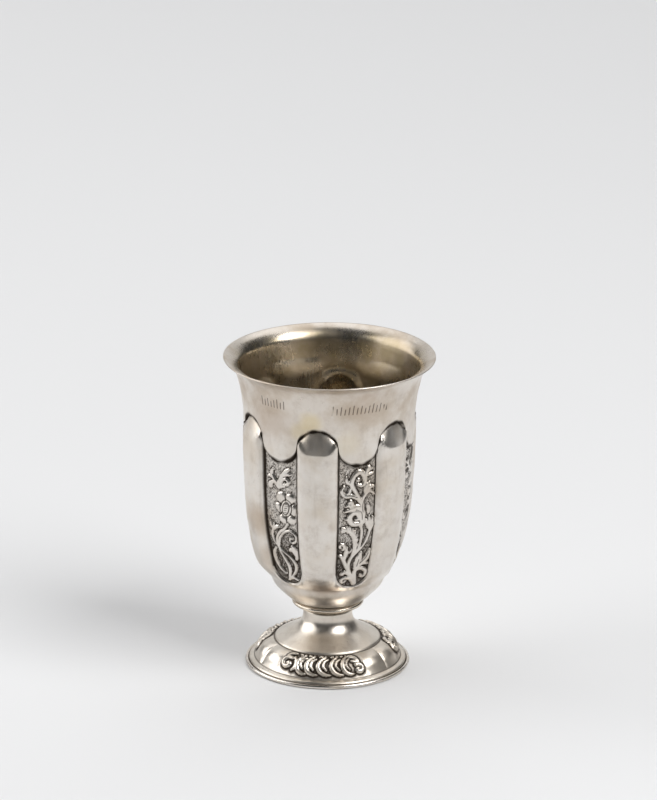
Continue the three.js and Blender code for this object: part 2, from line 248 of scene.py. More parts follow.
def flower_panel(art, at):
    """Two crossing stems from a knot, a bud, a tendril, an open rose and leaves over it."""
    art.stroke((at(-0.05, 39), at(0.15, 40.1), at(0.38, 40.5), at(0.62, 39.9), at(0.85, 39.1)), 0.9)
    art.stroke((at(0.1, 40.4), at(0.23, 42.9), at(0.22, 45.4), at(0.05, 48), at(-0.18, 50.9),
                at(-0.31, 53.4)), 0.75, start=1)
    art.stroke((at(0.31, 41), at(0.56, 42.9), at(0.69, 45), at(0.64, 47.2), at(0.41, 49.5),
                at(0.1, 50.9), at(-0.18, 52.4)), 0.75)
    art.stroke((at(-0.1, 42), at(-0.48, 44.2), at(-0.7, 47.2), at(-0.72, 50), at(-0.52, 52.2)), 1.15,
               start=0.3, end=0.3, notches=5)
    art.stroke((at(-0.31, 53), at(-0.55, 55.1), at(-0.65, 57.8), at(-0.5, 60.5), at(-0.46, 62.2)), 0.7)
    art.stroke((at(-0.52, 59.8), at(-0.66, 61.4), at(-0.7, 63)), 0.9, start=0.9, end=0.3)
    art.stroke((at(-0.5, 60), at(-0.32, 61), at(-0.12, 61.4)), 0.9, start=0.9, end=0.2)
    art.stroke((at(-0.33, 53.2), at(-0.34, 56.2), at(-0.14, 58.9), at(0.17, 60.7), at(0.36, 62.6),
                at(0.36, 64.6)), 0.65, start=0.9, end=0.9)
    art.stroke((at(-0.28, 52.8), at(-0.16, 56.4), at(0.2, 59.6), at(0.56, 60.4), at(0.84, 58.9),
                at(0.86, 57), at(0.68, 55.7), at(0.5, 56.4), at(0.52, 57.9)), 0.6, start=0.9)
    art.bead(at(0.62, 57.4), 0.5, 0.6)
    art.stroke((at(0.77, 49.1), at(0.9, 51.2), at(0.86, 53)), 1.3, end=0.4, notches=3)
    art.stroke((at(0.78, 50.4), at(0.6, 52.6), at(0.42, 52.3)), 1.15, end=0.4)
    art.stroke((at(0.8, 51.4), at(0.68, 53.6), at(0.56, 54.4)), 1.0, end=0.3)
    rose(art, at(0.36, 69.3))
    art.curl(at(0.36, 79.4), 1.9, 205, -0.95, 0.85)
    art.stroke((at(-0.05, 77.2), at(0.1, 77.8), at(0.24, 78.2)), 1.1, end=0.9)
    art.curl(at(-0.56, 77.2), 1.0, 60, 0.9, 0.9)
    art.stroke((at(-0.05, 77), at(-0.3, 78.8), at(-0.56, 78.4)), 0.95, start=0.9)
    art.stroke((at(-0.05, 77.6), at(0, 79.4), at(0.14, 81.8), at(0.36, 83.1)), 1.15, start=0.9, notches=3)
    art.stroke((at(0.2, 82.2), at(0.4, 82.8), at(0.66, 83)), 1.15, start=0.9, end=0.2)
    art.stroke((at(0.22, 82.6), at(0.4, 84), at(0.6, 85)), 1.0, start=0.9, end=0.2)
    art.stroke((at(-0.16, 79), at(-0.42, 80.6), at(-0.5, 82.4), at(-0.38, 84)), 1.2, end=0.3, notches=3)
    art.stroke((at(-0.3, 80), at(-0.62, 80.8), at(-0.78, 80.2)), 0.8, end=0.3)


def rose(art, centre):
    """An open rose: broad petals parted by cut lines, round an upright oval of seeds."""
    cx, cy = centre

    def oval(half_x, half_y, count=16):
        lean = math.radians(-14)
        points = []
        for k in range(count + 1):
            turn = 2 * math.pi * k / count
            across, up = half_x * math.cos(turn), half_y * math.sin(turn)
            points.append((cx + across * math.cos(lean) - up * math.sin(lean),
                           cy + across * math.sin(lean) + up * math.cos(lean)))
        return points

    for angle, reach, half_x, half_y in ((124, 4.8, 2.5, 2.1), (60, 4.6, 2.0, 2.1), (-6, 3.5, 1.6, 2.3),
                                         (-62, 4.7, 1.9, 1.8), (-112, 4.9, 2.1, 1.7), (184, 3.7, 1.6, 2.3)):
        turn = math.radians(angle)
        place = (cx + reach * 0.8 * math.cos(turn), cy + reach * math.sin(turn))
        art.bead(place, half_x, half_y, turn=angle * 0.3, relief=0.95)
    for angle in (95, 30, -33, -88, -145, 158):
        turn = math.radians(angle)
        art.engrave(((cx + 2.0 * math.cos(turn), cy + 3.0 * math.sin(turn)),
                     (cx + 3.9 * math.cos(turn), cy + 5.6 * math.sin(turn))), 0.3)
    art.bead((cx, cy), 2.5, 3.5, turn=-14, relief=1.25)
    art.engrave(oval(2.45, 3.5), 0.3)
    art.engrave(oval(1.35, 2.5), 0.3)
    for row in range(-2, 3):
        shift, up = 0.2 * row, cy + 0.85 * row
        art.engrave(((cx - 0.5 + shift, up), (cx + 0.6 + shift, up + 0.3)), 0.2)


def scroll_panel(art, at):
    """Scrolling acanthus: volutes at the foot, a feathered leaf, and two great curls above it."""
    art.stroke((at(0.28, 38.8), at(0.04, 41.4), at(-0.23, 43.4), at(-0.5, 44.3), at(-0.64, 43.6)), 1.15,
               end=0.9)
    art.bead(at(-0.62, 43.6), 0.75, 0.65)
    art.stroke((at(0.2, 38.2), at(0, 40.3), at(-0.24, 41.7), at(-0.52, 41.7), at(-0.68, 40.6),
                at(-0.6, 39.6), at(-0.44, 40)), 0.9, start=0.9)
    art.bead(at(-0.4, 40.4), 0.5, 0.45)
    art.stroke((at(0.28, 38.6), at(0.16, 41.4), at(0.09, 43.9), at(0.21, 45.2), at(0.46, 45.4),
                at(0.73, 44.6), at(0.86, 43.2), at(0.76, 41.9), at(0.6, 41.7), at(0.54, 42.6)), 1.0,
               start=1)
    art.stroke((at(0.14, 45.4), at(0.24, 48.6), at(0.35, 52.2)), 1.7, notches=3, end=0.35)
    art.stroke((at(0.2, 46), at(0.6, 48.4), at(0.82, 50.4), at(0.88, 53)), 1.5, notches=4, end=0.3)
    art.stroke((at(0.3, 47.2), at(0.62, 47.4), at(0.9, 47)), 0.9, end=0.3)
    art.stroke((at(-0.18, 43.6), at(-0.29, 45.7), at(-0.31, 48), at(-0.21, 50.2), at(-0.05, 51.7),
                at(0.16, 53.2), at(0.36, 54.7), at(0.53, 56.6), at(0.68, 59.3), at(0.78, 62)), 0.8,
               start=1, end=0.9)
    for tip_u, tip_z in ((0.5, 65.6), (0.66, 66.9), (0.86, 66.4), (0.96, 64.4)):
        art.stroke((at(0.77, 61.2), at(mix(0.77, tip_u, 0.6), 63.4), at(tip_u, tip_z)), 1.1, end=0.25)
    art.stroke((at(-0.34, 45.4), at(-0.57, 48.7), at(-0.72, 50.9), at(-0.84, 51.6)), 1.0, start=0.9)
    art.curl(at(-0.78, 55.3), 1.35, 300, 0.9, 0.85)
    art.stroke((at(-0.6, 49.4), at(-0.5, 52.4), at(-0.48, 54.8)), 1.2, notches=2, end=0.3)
    art.stroke((at(-0.5, 52.6), at(-0.3, 53), at(-0.22, 54.2)), 0.7, end=0.3)
    feather = (at(-0.17, 50.5), at(-0.06, 53.2), at(-0.03, 56.3), at(-0.13, 59.3), at(-0.32, 61.2),
               at(-0.56, 62.2), at(-0.74, 61.6))
    art.stroke(feather, 1.15, start=0.6, end=0.8)
    art.barbs(feather, 9, 1.7, 0.62, -1, first=0.3, last=0.98)
    art.barbs(feather, 5, 1.0, 0.5, 1, first=0.45, last=0.95)
    art.stroke((at(0.04, 52.4), at(0.2, 54.9), at(0.28, 57.8), at(0.3, 60.8), at(0.23, 63.3)), 0.65,
               start=1, end=1)
    art.curl(at(-0.08, 67), 3.0, -62, -1.05, 1.45, relief=1.2)
    art.stroke((at(0.28, 65), at(0.24, 68.4), at(0.02, 70.5), at(-0.3, 70.4)), 2.1, relief=1.15, start=0.8,
               end=0.6, notches=3)
    for tip_u, tip_z in ((-0.62, 71.4), (-0.68, 69.4), (-0.46, 72.8), (-0.62, 66.4)):
        art.stroke((at(-0.16, 70.2), at(mix(-0.16, tip_u, 0.6), tip_z + 0.5), at(tip_u, tip_z)), 1.0,
                   end=0.25)
    art.stroke((at(0.22, 63.4), at(0.31, 67), at(0.25, 70.1), at(0.24, 73.1), at(0.38, 75.6),
                at(0.65, 76.8), at(0.9, 75.4)), 1.15, start=0.9)
    art.stroke((at(0.4, 75.8), at(0.6, 78.2), at(0.86, 78.4)), 1.3, notches=2, end=0.3)
    art.stroke((at(0.38, 76), at(0.42, 78.6), at(0.62, 80.4)), 1.0, end=0.3)
    art.stroke((at(0.56, 71.6), at(0.62, 70), at(0.6, 68.2)), 1.1, end=0.4)
    art.stroke((at(0.16, 72.8), at(-0.05, 74.7), at(-0.32, 75.5), at(-0.67, 75.8), at(-0.84, 77.7),
                at(-0.72, 79.3)), 1.2, start=0.8, notches=4)
    art.stroke((at(-0.62, 76), at(-0.44, 77.2), at(-0.4, 78.8)), 1.0, end=0.3)
    art.stroke((at(0.25, 72.4), at(-0.04, 76.2), at(-0.21, 78.5), at(-0.32, 80.4), at(-0.21, 83.1),
                at(0.06, 84.7), at(0.29, 83.5), at(0.37, 81.2), at(0.22, 79.4), at(0, 79.8)), 1.35,
               relief=1.15)
    art.bead(at(0.02, 81.6), 0.85, 0.9)
    art.stroke((at(-0.3, 80), at(-0.56, 81.2), at(-0.6, 83)), 0.9, end=0.3)
    for vein in (((0.26, 66), (0.2, 68.8), (-0.1, 70.2)),
                 ((0.2, 74.6), (-0.06, 78), (-0.2, 80.4), (-0.1, 83)),
                 ((0.18, 46.6), (0.26, 49.4)),
                 ((0.34, 47.6), (0.66, 49.6), (0.8, 51.6)),
                 ((0.28, 69), (0.26, 72), (0.4, 74.6)),
                 ((-0.04, 74.9), (-0.36, 75.8), (-0.66, 76.2))):
        art.engrave([at(u, height) for u, height in vein], 0.2)
    for tip_u, tip_z in ((0.78, 85.4), (0.82, 83.6), (0.66, 86.2)):
        art.stroke((at(0.34, 83), at(mix(0.34, tip_u, 0.55), tip_z - 0.2), at(tip_u, tip_z)), 0.85,
                   end=0.25)


# ---------------------------------------------------------------- welded skins of revolution
def skin(name, positions, fields):
    """A mesh of one skin: a grid of columns by rows, rolled round the Z axis and welded where it meets."""
    columns, rows = positions.shape[0] - 1, positions.shape[1] - 1
    grid = bmesh.new()
    bmesh.ops.create_grid(grid, x_segments=columns, y_segments=rows, size=1.0)
    mesh = bpy.data.meshes.new(name)
    grid.to_mesh(mesh)
    grid.free()
    flat = np.empty(len(mesh.vertices) * 3)
    mesh.vertices.foreach_get("co", flat)
    flat = flat.reshape(-1, 3)
    i = np.rint((flat[:, 0] + 1) / 2 * columns).astype(int)
    j = np.rint((flat[:, 1] + 1) / 2 * rows).astype(int)
    mesh.vertices.foreach_set("co", (positions[i, j] * MM).ravel())
    for field, values in fields.items():
        mesh.attributes.new(field, "FLOAT", "POINT").data.foreach_set("value", values[i, j].astype(float))
    weld = bmesh.new()
    weld.from_mesh(mesh)
    bmesh.ops.remove_doubles(weld, verts=weld.verts, dist=2e-6)
    bmesh.ops.dissolve_degenerate(weld, dist=1e-7, edges=weld.edges)
    bmesh.ops.recalc_face_normals(weld, faces=weld.faces)
    for face in weld.faces:
        face.smooth = True
    weld.to_mesh(mesh)
    weld.free()
    piece = bpy.data.objects.new(name, mesh)
    bpy.context.collection.objects.link(piece)
    return piece


def round_up(radius, azimuth, z):
    """Positions from radius, azimuth in degrees from the front towards +X, and height."""
    turn = np.radians(azimuth)
    return np.stack(np.broadcast_arrays(radius * np.sin(turn), -radius * np.cos(turn), z), axis=-1)


def closing(array):
    """The same columns with the first repeated at the end, where the skin meets itself."""
    return np.concatenate([array, array[:1]], axis=0)


def panel_after(i):
    following = LOBES[i + 1] if i + 1 < len(LOBES) else LOBES[0] + 360
    return (LOBES[i] + following) / 2, (following - LOBES[i]) / 2 - LOBE_HALF


class Columns:
    """The bowl's columns: where each stands, and the lobe or panel it belongs to."""

    def __init__(self):
        azimuth, lobe, across, half, index = [], [], [], [], []
        for i, centre in enumerate(LOBES):
            middle, width = panel_after(i)
            width_before = panel_after((i - 1) % len(LOBES))[1]
            for share in np.linspace(-1, 1, LOBE_COLUMNS[i], endpoint=False):
                azimuth.append(centre + share * LOBE_HALF)
                lobe.append(True)
                across.append(share)
                half.append(width if share > 0 else width_before)
                index.append(i)
            for share in np.linspace(-1, 1, PANEL_COLUMNS[i], endpoint=False):
                azimuth.append(middle + share * width)
                lobe.append(False)
                across.append(share)
                half.append(width)
                index.append(i)
        self.azimuth = np.array(azimuth)[:, None]
        self.lobe = np.array(lobe)[:, None]
        self.across = np.array(across)[:, None]  # -1 at its left edge, 1 at its right edge
        self.half = np.array(half)[:, None]  # half the width of its panel, or of the panel beside its lobe
        self.index = np.array(index)[:, None]
        arch = ARCH_FOOT_Z + ARCH_RISE * round_share(self.across)
        tongue = ARCH_FOOT_Z - TONGUE_DROP * round_share(self.across)
        self.wave = np.where(self.lobe, arch, tongue)  # the neck's scalloped lower edge
        rounded_end = PANEL_END_Z + PANEL_END_RISE * (1 - round_share(self.across))
        self.panel_end = np.where(self.lobe, PANEL_END_Z + PANEL_END_RISE, rounded_end)
        levels = (SEAT_Z, CREASE_Z, self.panel_end, self.wave - UNDER_STEP, self.wave + OVER_STEP, TEXT_Z,
                  FLARE_Z, RIM_Z)
        self.z = np.concatenate([low + 0 * self.wave + (high - low) * np.linspace(0, 1, count, endpoint=False)
                                 for low, high, count in zip(levels, levels[1:], ROW_COUNTS)], axis=1)
        self.on_panel = ~self.lobe & (self.z > self.panel_end) & (self.z < self.wave)

    def full(self, values):
        """A row of values, or one value, repeated in every column."""
        return np.atleast_1d(values)[None, :] + 0 * self.azimuth


def ground_at(z):
    """The radius of the base cone and of the panels' ground, before it is sunk."""
    return np.where(z < CREASE_Z, along(BASE, z), along(GROUND, z))


def bowl_form(c):
    """The outer face's radius before any chasing: base, lobes, sunk panels, knuckles and neck."""
    z, across, half = c.z, c.across, c.half

    # Below the panels' rounded ends the lobes widen until they meet.
    opening = round_share(1 - np.clip((z - PANEL_END_Z) / PANEL_END_RISE, 0, 1))
    widened = LOBE_HALF + (1 - opening) * half
    from_lobe = np.where(c.lobe, np.abs(across) * LOBE_HALF, LOBE_HALF + (1 - np.abs(across)) * half)
    share = np.clip(from_lobe / widened, 0, 1)
    swell = np.sqrt(np.clip(1 - share ** 3, 0, 1))
    sunk = np.where(c.on_panel, PANEL_SINK * ease(z - c.panel_end, 0.0, 0.5), 0)
    sunk = sunk * ease((1 - np.abs(across)) * half, 0.0, 0.6)
    crown = along(CROWN, z) * np.where(c.on_panel, 0, swell) * (z > CREASE_Z)
    merge = ease(z, PANEL_END_Z - 1.6, PANEL_END_Z + 1.0)
    low_rim = 0.5 * np.exp(-((z - c.panel_end) / 2.2) ** 2) * (z <= c.panel_end) * (~c.lobe) * merge
    radius = ground_at(z) + crown + low_rim - sunk

    # The knuckle at a lobe's top is a dome that goes in under the neck's arch.
    kink = np.minimum(FACE_TOP_Z + KINK_RISE * np.abs(across) ** 4.5, c.wave - 0.4)
    rise = np.clip((z - kink) / np.maximum(c.wave - kink, 0.2), 0, 1)
    face_radius = along(GROUND, kink) + along(CROWN, kink) * swell
    arch_radius = along(NECK, c.wave) - KNUCKLE_SINK
    domed = 1 - np.sqrt(1 - 0.96 * np.clip(0.6 * rise ** 2 + 0.7 * across ** 2, 0, 1))
    lean = np.clip(0.6 * rise + 0.5 * domed * rise ** 0.5, 0, 1)
    knuckle = mix(face_radius, np.minimum(arch_radius, face_radius), lean)
    radius = np.where(c.lobe & (z > kink) & (z < c.wave), knuckle, radius)
    return np.where(z >= c.wave - 1e-6, along(NECK, z), radius)


def chase_lines(c, form):
    """The cut lines round the arches and tongues and beside the panels: oxide in them, painted shade under
    the neck's edge, and dirt over them.
    """
    z, across = c.z, c.across
    to_wave = (z - c.wave) / 0.5
    radius = form - GROOVE * np.exp(-to_wave ** 2) * (z < c.wave + 0.2) * ~c.lobe
    line_unevenness = 1.0 + 0.3 * ripple(c.azimuth, 0 * c.azimuth, 9, 21)
    # The band along the neck's scalloped edge is oxide in the cut, and painted shade where the edge overhangs
    # the sunk ground and the knuckles.
    recess = line_unevenness * np.exp(-((z - c.wave + 0.2) / mix(1.15, 1.35, across ** 2)) ** 2)
    edge_gap = (1 - np.abs(across)) * np.radians(c.half) * ground_at(z)
    panel_line = np.where(c.on_panel, np.exp(-(edge_gap / 0.7) ** 2), 0)
    radius = radius - 0.12 * panel_line
    recess = np.maximum(recess, 1.1 * panel_line)
    specks = 1 + 0.8 * rng.standard_normal(z.shape)
    halo = 0.42 * np.exp(-np.clip(z - c.wave, 0, 9) / 0.9) * (z > c.wave) * specks
    recess = np.maximum(recess, halo)
    end_line = np.where(~c.lobe & (z > c.panel_end), np.exp(-((z - c.panel_end) / 0.9) ** 2), 0)
    return radius, np.maximum(recess, end_line)


def chase_panels(c, radius, recess):
    """Works the panels' ornament and stippled ground into radius and recess. Returns where it lies."""
    ornamented = np.zeros(c.z.shape)
    for i in range(len(LOBES)):
        here = ((c.index == i) & ~c.lobe)[:, 0]
        width = panel_after(i)[1]
        z = c.z[here]
        scale = np.radians(width) * along(GROUND, z)
        x = c.across[here] * scale
        art = Chasing(x, z)

        def at(u, height, width=width):
            return (u * math.radians(width) * float(along(GROUND, np.array(height))), height)

        (flower_panel if i % 2 == 0 else scroll_panel)(art, at)
        inside = ease(c.wave[here] - z, 0.2, 0.9) * ease(z - c.panel_end[here], 0.1, 0.6)
        inside = inside * ease(scale - np.abs(x), 0.05, 0.35)
        open_ground = ease(art.edge, 0.0, 0.3)
        stipple = 0.08 * rng.standard_normal(x.shape) * open_ground
        worked = inside * (art.height - 0.2 * art.cut + stipple)
        radius[here] += worked

        # The ground is darker towards the bottom; painted shade lies against the strokes and in the hollows
        # between them, and oxide in the cut lines.
        level = worked / ORNAMENT_RELIEF
        # Painted shade in the hollows, where the relief lies below its blurred surroundings.
        hollow = np.clip(blur(level, 3) - level, 0, 1) * 2.2 + np.clip(blur(level, 9) - level, 0, 1) * 0.9
        # Darker low down, speckled, and a painted shade outline round each stroke.
        deep = 0.45 + 0.35 * ease(66 - z, 0, 18) + 0.4 * np.exp(-(np.clip(art.edge, 0, 9) / 0.45) ** 2)
        deep = deep + 0.24 * rng.standard_normal(x.shape)
        shade = np.maximum(deep * open_ground, hollow + 0.05 * rng.standard_normal(x.shape))
        shade = np.maximum(shade, 0.95 * art.cut)
        recess[here] = np.maximum(recess[here], np.clip(shade, 0, 1) * inside)
        ornamented[here] = inside
    return ornamented


def inner_face(c, form):
    """Radius and height of the inner face, from the rim down, a sheet's thickness inside the outer one."""
    guard = form.copy()  # the narrowest place near by, so the sheet keeps its thickness over the steps
    for step, low in ((1, 36), (2, 36), (3, 85), (4, 85)):
        narrow = form.copy()
        narrow[:, step:] = np.minimum(narrow[:, step:], form[:, :-step])
        narrow[:, :-step] = np.minimum(narrow[:, :-step], form[:, step:])
        guard = np.where(c.z > low, np.minimum(guard, narrow), guard)
    slope = np.gradient(form, axis=1) / np.maximum(np.gradient(c.z, axis=1), 1e-3)
    slope = np.clip(slope[:, INNER_ROWS][:, ::-1], -0.1, 1.6)
    length = np.hypot(1, slope)
    radius = np.minimum(guard[:, INNER_ROWS][:, ::-1] - SHEET / length, LIP[0][0] - 0.1)
    height = np.minimum(c.z[:, INNER_ROWS][:, ::-1] + SHEET * slope / length, LIP[-1][1] - 0.1)
    above_floor = height[0] > SEAT_Z + SHEET + 0.8
    return radius[:, above_floor], height[:, above_floor]


def bowl():
    c = Columns()
    form = bowl_form(c)
    radius, recess = chase_lines(c, form)
    ornamented = chase_panels(c, radius, recess)

    # The hand-cut inscription, shown as two rows of plain strokes.
    mark = inscription(c.azimuth, c.z)
    radius = radius - 0.09 * mark
    recess = np.maximum(recess, 0.85 * mark)

    # The sheet is a little uneven, and the mouth is not quite true.
    turn = np.radians(c.azimuth)
    uneven = 0.05 * ripple(np.cos(turn) * 30 + 0 * c.z, np.sin(turn) * 30 + c.z, 16, 5)
    dents = 0.03 * ripple(turn * 30 + 0 * c.z, c.z, 5, 8)
    radius = radius + (uneven + dents) * (1 - ornamented) * ease(c.z, 37, 44)

    # From the middle of the underside up the outer face, over the lip, down the inner face to the floor.
    inner_r, inner_z = inner_face(c, form)
    lip_r, lip_z = np.array(LIP).T
    under_r = c.full((0, 7, SEAT_RADIUS - 0.4))
    floor_r = c.full((SEAT_RADIUS - 1.2, 6, 0))
    lip_r, lip_z = c.full(lip_r), c.full(lip_z)
    under_z, floor_z = 0 * under_r + SEAT_Z, 0 * floor_r + SEAT_Z + SHEET
    all_r = np.concatenate([under_r, radius, lip_r, inner_r, floor_r], axis=1)
    all_z = np.concatenate([under_z, c.z, lip_z, inner_z, floor_z], axis=1)
    first_inner = all_r.shape[1] - inner_r.shape[1] - floor_r.shape[1]
    outer = slice(under_r.shape[1], under_r.shape[1] + radius.shape[1])
    # Oxide, dirt and painted shade of the outer face, for the recess attribute.
    dirt_and_shade = np.zeros_like(all_r)
    dirt_and_shade[:, outer] = np.clip(recess, 0, 1)
    inside = np.zeros_like(all_r)
    inside[:, first_inner:] = 1

    bend = ease(all_z, 104, 120)
    out_of_true = 0.22 * np.cos(2 * turn + math.radians(40)) + 0.12 * np.cos(3 * turn - math.radians(70))
    dip = -0.25 * np.exp(-((c.azimuth + 58) / 14) ** 2)
    all_z = all_z + bend * 0.35 * (out_of_true - 0.34) + bend * dip * 0.5
    all_r = all_r + bend * (0.4 * out_of_true - 0.14)
    positions = round_up(all_r, c.azimuth, all_z)
    return skin("bowl_skin", closing(positions), {"recess": closing(dirt_and_shade), "inside": closing(inside)})


def inscription(azimuth, z):
    """How deep each point lies in a cut of the two rows of strokes, 0 to 1."""
    depth = np.zeros(np.broadcast(azimuth, z).shape)
    x, y = azimuth * math.radians(1) * 33.5, z
    cuts = []
    for first, last, count, low in ((-47, -30, 8, 108.6), (2, 39, 15, 107.9)):
        for k in range(count):
            centre = math.radians(mix(first, last, k / (count - 1))) * 33.5
            tall = (3.6, 2.6, 3.2, 2.2, 3.0)[k % 5]
            cuts.append(((centre, low), (centre + 0.25, low + tall)))
    for low_end, high_end in cuts:
        distance = run_distance(x, y, low_end, high_end)
        depth = np.maximum(depth, np.exp(-(distance / 0.24) ** 2))
    return depth


# ---------------------------------------------------------------- foot, collar and base wire
FANS = 3
FAN_AZIMUTH = -5.0
FAN_HALF = 38.0
CREASE_FROM_FAN = 180 / FANS
FOOT_COLUMNS = 420
DOME_ROWS = 46
DOME_WIDTH = 10.2  # along the domed band's section
DOME_RADIUS = 24.0  # at the middle of the band
DOME_OUT, DOME_UP = 0.72, 0.66  # which way relief stands on the band

FLANGE = ((28.0, 1.25), (29.15, 1.25), (29.2, 1.5), (29.1, 1.85), (28.5, 2.15), (27.7, 2.35))
DOME = ((27.3, 2.5), (26.8, 3.2), (26.2, 4.2), (25.2, 6.0), (23.6, 7.7), (21.6, 8.8), (19.9, 9.4))
DISC_EDGE = ((19.55, 9.5), (19.55, 9.75), (19.3, 10.0), (18.9, 10.25))
STEM = ((18.2, 10.6), (15.4, 12), (11.8, 14.1), (9.9, 16.3), (STEM_RADIUS, 18.4), (STEM_RADIUS, STEM_TOP_Z))
FOOT_INSIDE = ((STEM_RADIUS - SHEET, STEM_TOP_Z), (STEM_RADIUS - SHEET, 18), (9.6, 15.4), (13.6, 12.2),
               (19, 9.2), (22.6, 7.2), (24.5, 4.8), (25.9, 2.4), FLANGE[0])


def along_section(points, count):
    """count points spaced evenly along a rounded section of (radius, height)."""
    path = smooth_path(points, 12)
    steps = np.concatenate([[0], np.cumsum(np.hypot(*np.diff(path, axis=0).T))])
    at = np.linspace(0, steps[-1], count)
    return np.interp(at, steps, path[:, 0]), np.interp(at, steps, path[:, 1])


def fan(art):
    """A fan of C-shaped gadroons, each with a second one inside it, between two volutes."""
    for centre, size in ((-19, 0.8), (-10, 1.0), (1, 1.15), (12, 1.05), (21, 0.8)):
        c = math.radians(centre) * DOME_RADIUS
        art.stroke(((c + 1.2, 8.8), (c - 0.7 * size, 7.2), (c - 1.5 * size, 5.0), (c - 0.7 * size, 2.8),
                    (c + 1.0, 1.7), (c + 2.6, 1.6)), 0.95, relief=1.5, start=0.35, end=0.2)
        art.stroke(((c + 2.0, 7.8), (c + 0.6, 6.6), (c + 0.2, 4.8), (c + 1.3, 3.3)), 0.6, relief=1.2,
                   end=0.3)
        art.bead((c - 0.8, 9.1), 0.8 * size, 0.55, turn=25, relief=1.4)
        art.bead((c + 1.0, 9.3), 0.5, 0.4, relief=1.1)
    left = math.radians(-31) * DOME_RADIUS
    art.curl((left, 4.6), 2.5, 60, 0.95, 0.95, relief=1.35, bead=0.55)
    art.stroke(((left - 1.4, 7.4), (left - 0.2, 8.7), (left + 1.8, 9.2)), 1.0, relief=1.1)
    art.stroke(((left + 2.2, 2.2), (left + 3.2, 3.6), (left + 3.0, 6.0), (left + 2.0, 7.6)), 0.8,
               relief=1.0)
    right = math.radians(32) * DOME_RADIUS
    art.curl((right, 3.2), 1.9, 120, -0.95, 0.9, relief=1.3, bead=0.5)
    art.stroke(((right - 2.6, 8.8), (right - 0.6, 8.0), (right + 0.6, 6.0)), 1.2, relief=1.0, end=0.4)
    art.stroke(((right - 2.2, 6.6), (right - 1.0, 6.2), (right - 0.2, 5.2)), 0.8, relief=0.9, end=0.4)


def dome_relief(azimuth):
    """Relief and darkening of the foot's domed band: fans, and creased pillows between them. The darkening is
    painted shade by the fans' strokes and in the creases, and dirt at the band's edges.
    """
    from_fan = (azimuth - FAN_AZIMUTH + CREASE_FROM_FAN) % (2 * CREASE_FROM_FAN) - CREASE_FROM_FAN
    off_middle = np.abs(from_fan)
    to_crease = CREASE_FROM_FAN - off_middle
    up = np.linspace(0, 1, DOME_ROWS)[None, :]
    swell = np.sin(math.pi * up) ** 0.7
    across = np.clip(to_crease / (CREASE_FROM_FAN - FAN_HALF), 0, 1)
    pillow = np.where(off_middle < FAN_HALF, 0.1, np.sin(math.pi * across) ** 0.6 - 0.3)
    fold = np.exp(-(to_crease / 1.3) ** 2)
    relief = 0.85 * swell * pillow - 0.15 * swell * fold

    art = Chasing(np.radians(from_fan) * DOME_RADIUS + 0 * up, up * DOME_WIDTH + 0 * from_fan)
    fan(art)
    inside = (off_middle < FAN_HALF + 3) * ease(FAN_HALF + 3 - off_middle, 0, 3)
    relief = relief + inside * art.height * 0.95
    # Painted shade on the low ground beside the fans' strokes, kept off their raised tops.
    shade = inside * np.clip(0.55 + 0.6 * np.exp(-(np.clip(art.edge, 0, 9) / 0.6) ** 2), 0, 1)
    shade = shade * (1 - ease(art.height / ORNAMENT_RELIEF, 0.3, 0.85)) * (art.edge < 1.2)

    # The band meets the flange and the disc in a dirty line, and each crease is painted dark with shade as a
    # narrow lens.
    foot_line = 0.75 * np.exp(-(up / 0.05) ** 2) + 0 * relief
    top_line = 0.8 * np.exp(-((1 - up) / 0.04) ** 2) + 0 * relief
    bulge = 2.2 * np.sin(math.pi * np.clip(up * 1.3 - 0.1, 0, 1))
    fold_line = 0.8 * np.exp(-((np.abs(to_crease) - bulge) / 0.6) ** 2) * swell
    return relief, np.maximum.reduce([shade, foot_line, top_line, fold_line])


def foot():
    azimuth = np.linspace(0, 360, FOOT_COLUMNS, endpoint=False)[:, None]
    relief, dirt_and_shade = dome_relief(azimuth)

    def rows(values):
        return np.asarray(values)[None, :] + 0 * azimuth

    flange_r, flange_z = np.array(FLANGE).T
    dome_r, dome_z = along_section(DOME, DOME_ROWS)
    edge_r, edge_z = np.array(DISC_EDGE).T
    stem_r, stem_z = along_section(STEM, 34)
    inner_r, inner_z = along_section(FOOT_INSIDE, 26)
    radius = np.concatenate([rows(flange_r), rows(dome_r) + relief * DOME_OUT, rows(edge_r), rows(stem_r),
                             rows(inner_r)], axis=1)
    height = np.concatenate([rows(flange_z), rows(dome_z) + relief * DOME_UP, rows(edge_z), rows(stem_z),
                             rows(inner_z)], axis=1)
    recess = np.concatenate([rows([0.6, 0.5, 0.1, 0, 0, 0.15]), dirt_and_shade, rows([0.6, 0.1, 0, 0]),
                             rows(0 * stem_r), rows(0 * inner_r + 0.35)], axis=1)
    inside = np.zeros_like(recess)
    inside[:, -len(inner_r):] = 1
    turn = np.radians(azimuth)
    uneven = 0.03 * ripple(np.cos(turn) * 15 + radius * 0.2, np.sin(turn) * 15, 12, 3)
    height = height + uneven * ((height > 2.2) & (height < 20))
    positions = round_up(radius, azimuth, height)
    return skin("foot_skin", closing(positions), {"recess": closing(recess), "inside": closing(inside)})


def ring(name, section, shades, columns=192):
    """A turned ring from a closed section; shades say how dark it is painted at each of its points, with
    tarnish and painted shade.
    """
    azimuth = np.linspace(0, 360, columns, endpoint=False)[:, None]
    radius, height = (np.array([*values, values[0]])[None, :] + 0 * azimuth for values in zip(*section))
    recess = np.array([*shades, shades[0]])[None, :] + 0 * azimuth
    positions = round_up(radius, azimuth, height)
    return skin(name, closing(positions), {"recess": closing(recess), "inside": closing(0 * recess)})


def arc(centre, half_r, half_z, first, last, count):
    """Points of an oval arc in a section, from one angle to another."""
    turns = np.radians(np.linspace(first, last, count))
    return [(centre[0] + half_r * math.cos(t), centre[1] + half_z * math.sin(t)) for t in turns]


